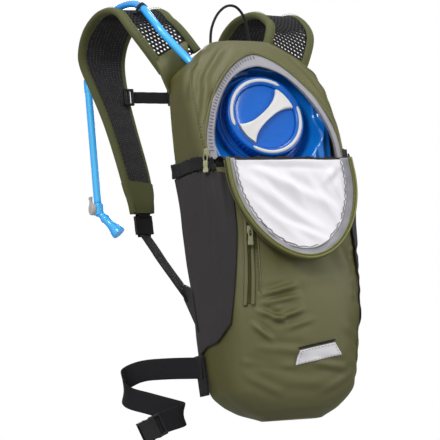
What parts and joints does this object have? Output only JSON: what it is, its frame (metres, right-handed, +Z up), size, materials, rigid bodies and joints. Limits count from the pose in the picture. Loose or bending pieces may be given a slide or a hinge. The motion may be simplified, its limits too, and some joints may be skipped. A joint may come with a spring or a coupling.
{
  "type": "hydration backpack",
  "caption": "Narrow fabric backpack with a fold-down front flap, a water reservoir with screw cap, a drinking hose with bite valve, curved shoulder straps and a waist belt.",
  "frame": {"origin": "centre of the lumbar pad's flat face, which rests on the wearer's back", "axes": "+Z up along the bag, +Y towards the wearer, so the front flap faces -Y and the hose side is -X"},
  "size_m": [0.3028, 0.3378, 0.55],
  "materials": {
    "olive_fabric": "ripstop woven nylon, matt",
    "olive_binding": "folded binding tape, matt",
    "charcoal_stretch": "stretch knit, matt",
    "black_mesh": "perforated spacer mesh",
    "black_webbing": "ribbed woven webbing",
    "black_plastic": "moulded, fine texture",
    "grey_lining": "thin smooth lining, slightly wrinkled",
    "zip_tape": "fine ribbed zip tape",
    "reservoir_film": "translucent blue film, glossy",
    "cap_blue": "moulded, satin gloss",
    "cap_white": "moulded, satin",
    "seal_rubber": "soft, matt",
    "hose_blue": "translucent blue tube, glossy",
    "valve_grey": "moulded, satin",
    "reflective_white": "coated reflective sheet",
    "khaki_cord": "braided cord with moulded end"
  },
  "bodies": {
    "pack": {"adjust_web_left": "black_webbing", "adjust_web_right": "black_webbing", "back_mesh": "black_mesh", "belt_anchor_left": "black_webbing", "belt_anchor_right": "black_webbing", "body_zip": "zip_tape", "fill_port": "cap_blue", "hanger_bar": "cap_white", "hose_inner": "hose_blue", "hose_outer": "hose_blue", "keeper_lower": "black_webbing", "keeper_upper": "black_webbing", "ladder_lock_left": "black_plastic", "ladder_lock_right": "black_plastic", "lumbar_pad": "black_mesh", "main_shell": "olive_fabric", "main_slider_left": "black_plastic", "main_slider_right": "black_plastic", "pocket_elastic_left": "black_webbing", "pocket_elastic_right": "black_webbing", "pocket_zip_tape": "olive_binding", "quick_link": "valve_grey", "reflective_patch": "reflective_white", "reservoir_bag": "reservoir_film", "reservoir_sleeve": "grey_lining", "shoulder_pad_left": "black_mesh", "shoulder_pad_right": "black_mesh", "shoulder_strap_left": "black_mesh", "shoulder_strap_right": "black_mesh", "side_pocket_left": "charcoal_stretch", "side_pocket_right": "charcoal_stretch", "sleeve_elastic": "black_webbing"},
    "flap": {"front_flap": "olive_fabric", "flap_lining": "grey_lining", "flap_zip": "zip_tape"},
    "seal_ring": {"cap_seal": "seal_rubber"},
    "cap": {"cap_ring": "cap_blue", "cap_disc": "cap_blue", "cap_grip": "cap_white"},
    "loop": {"haul_loop": "black_webbing"},
    "pull_left": {"main_pull_left": "khaki_cord"},
    "pull_right": {"main_pull_right": "khaki_cord"},
    "pocket_slider": {"pocket_slider": "black_plastic"},
    "pocket_pull": {"pocket_pull": "khaki_cord"},
    "hose": {"hose_free": "hose_blue"},
    "valve": {"valve_body": "valve_grey", "bite_mouthpiece": "hose_blue"},
    "lever": {"shutoff_lever": "valve_grey"},
    "sternum": {"sternum_slider_left": "black_plastic", "sternum_slider_right": "black_plastic", "sternum_web_left": "black_webbing", "sternum_web_right": "black_webbing", "sternum_female": "black_plastic"},
    "sternum_male": {"sternum_male": "black_plastic"},
    "belt_left": {"belt_web_left": "black_webbing", "belt_buckle_female": "black_plastic"},
    "belt_right": {"belt_web_right": "black_webbing", "belt_buckle_male": "black_plastic"},
    "latch_upper": {"latch_arm_upper": "black_plastic"},
    "latch_lower": {"latch_arm_lower": "black_plastic"}
  },
  "joints": [
    {"name": "flap_fold", "type": "hinge", "parent": "pack", "child": "flap", "pos_m": [0, -0.122, 0.157], "axis": [-1, 0, 0], "range_deg": [0, 182]},
    {"name": "cap_turn", "type": "hinge", "parent": "pack", "child": "seal_ring", "pos_m": [0.004, -0.0628, 0.214], "axis": [0, 0.9903, -0.1392], "range_deg": [-90, 0]},
    {"name": "cap_lift", "type": "slide", "parent": "seal_ring", "child": "cap", "axis": [0, 0.9903, -0.1392], "range_m": [-0.03, 0]},
    {"name": "loop_swing", "type": "hinge", "parent": "pack", "child": "loop", "pos_m": [0.003, -0.008, 0.318], "axis": [-1, 0, 0], "range_deg": [-50, 85]},
    {"name": "main_pull_left_swing", "type": "hinge", "parent": "pack", "child": "pull_left", "pos_m": [-0.09373, -0.11045, 0.165], "axis": [-0.7071, 0.7071, 0], "range_deg": [0, 70]},
    {"name": "main_pull_right_swing", "type": "hinge", "parent": "pack", "child": "pull_right", "pos_m": [0.09373, -0.11045, 0.165], "axis": [-0.7071, -0.7071, 0], "range_deg": [0, 70]},
    {"name": "pocket_zip_slide", "type": "slide", "parent": "pack", "child": "pocket_slider", "axis": [-0.0945, 0.0009, -0.9955], "range_m": [0, 0.068]},
    {"name": "pocket_pull_swing", "type": "hinge", "parent": "pocket_slider", "child": "pocket_pull", "pos_m": [-0.06232, -0.14369, 0.07217], "axis": [-0.9685, 0.2315, 0.0922], "range_deg": [0, 55]},
    {"name": "hose_swing", "type": "hinge", "parent": "pack", "child": "hose", "pos_m": [-0.115, 0.1645, 0.312], "axis": [0, 1, 0], "range_deg": [-15, 30]},
    {"name": "valve_swivel", "type": "hinge", "parent": "hose", "child": "valve", "pos_m": [-0.115, 0.1645, 0.1596], "axis": [0, 0, 1], "range_deg": [-60, 60]},
    {"name": "lever_turn", "type": "hinge", "parent": "valve", "child": "lever", "pos_m": [-0.1242, 0.1645, 0.1526], "axis": [-1, 0, 0], "range_deg": [0, 90]},
    {"name": "sternum_slide", "type": "slide", "parent": "pack", "child": "sternum", "axis": [0, 0.4, 0.9165], "range_m": [0, 0.025]},
    {"name": "sternum_clip", "type": "slide", "parent": "sternum", "child": "sternum_male", "axis": [1, 0, 0], "range_m": [0, 0.02]},
    {"name": "belt_left_swing", "type": "hinge", "parent": "pack", "child": "belt_left", "pos_m": [-0.0872, -0.027, -0.0705], "axis": [0, 0, 1], "range_deg": [-12, 18]},
    {"name": "belt_right_swing", "type": "hinge", "parent": "pack", "child": "belt_right", "pos_m": [0.0872, -0.027, -0.0705], "axis": [0, 0, 1], "range_deg": [-25, 15]},
    {"name": "latch_upper", "type": "hinge", "parent": "belt_right", "child": "latch_upper", "pos_m": [0.0364, 0.12929, -0.066], "axis": [-0.3626, -0.9319, 0], "range_deg": [0, 7]},
    {"name": "latch_lower", "type": "hinge", "parent": "belt_right", "child": "latch_lower", "pos_m": [0.0364, 0.12929, -0.085], "axis": [-0.3626, -0.9319, 0], "range_deg": [-7, 0]}
  ]
}
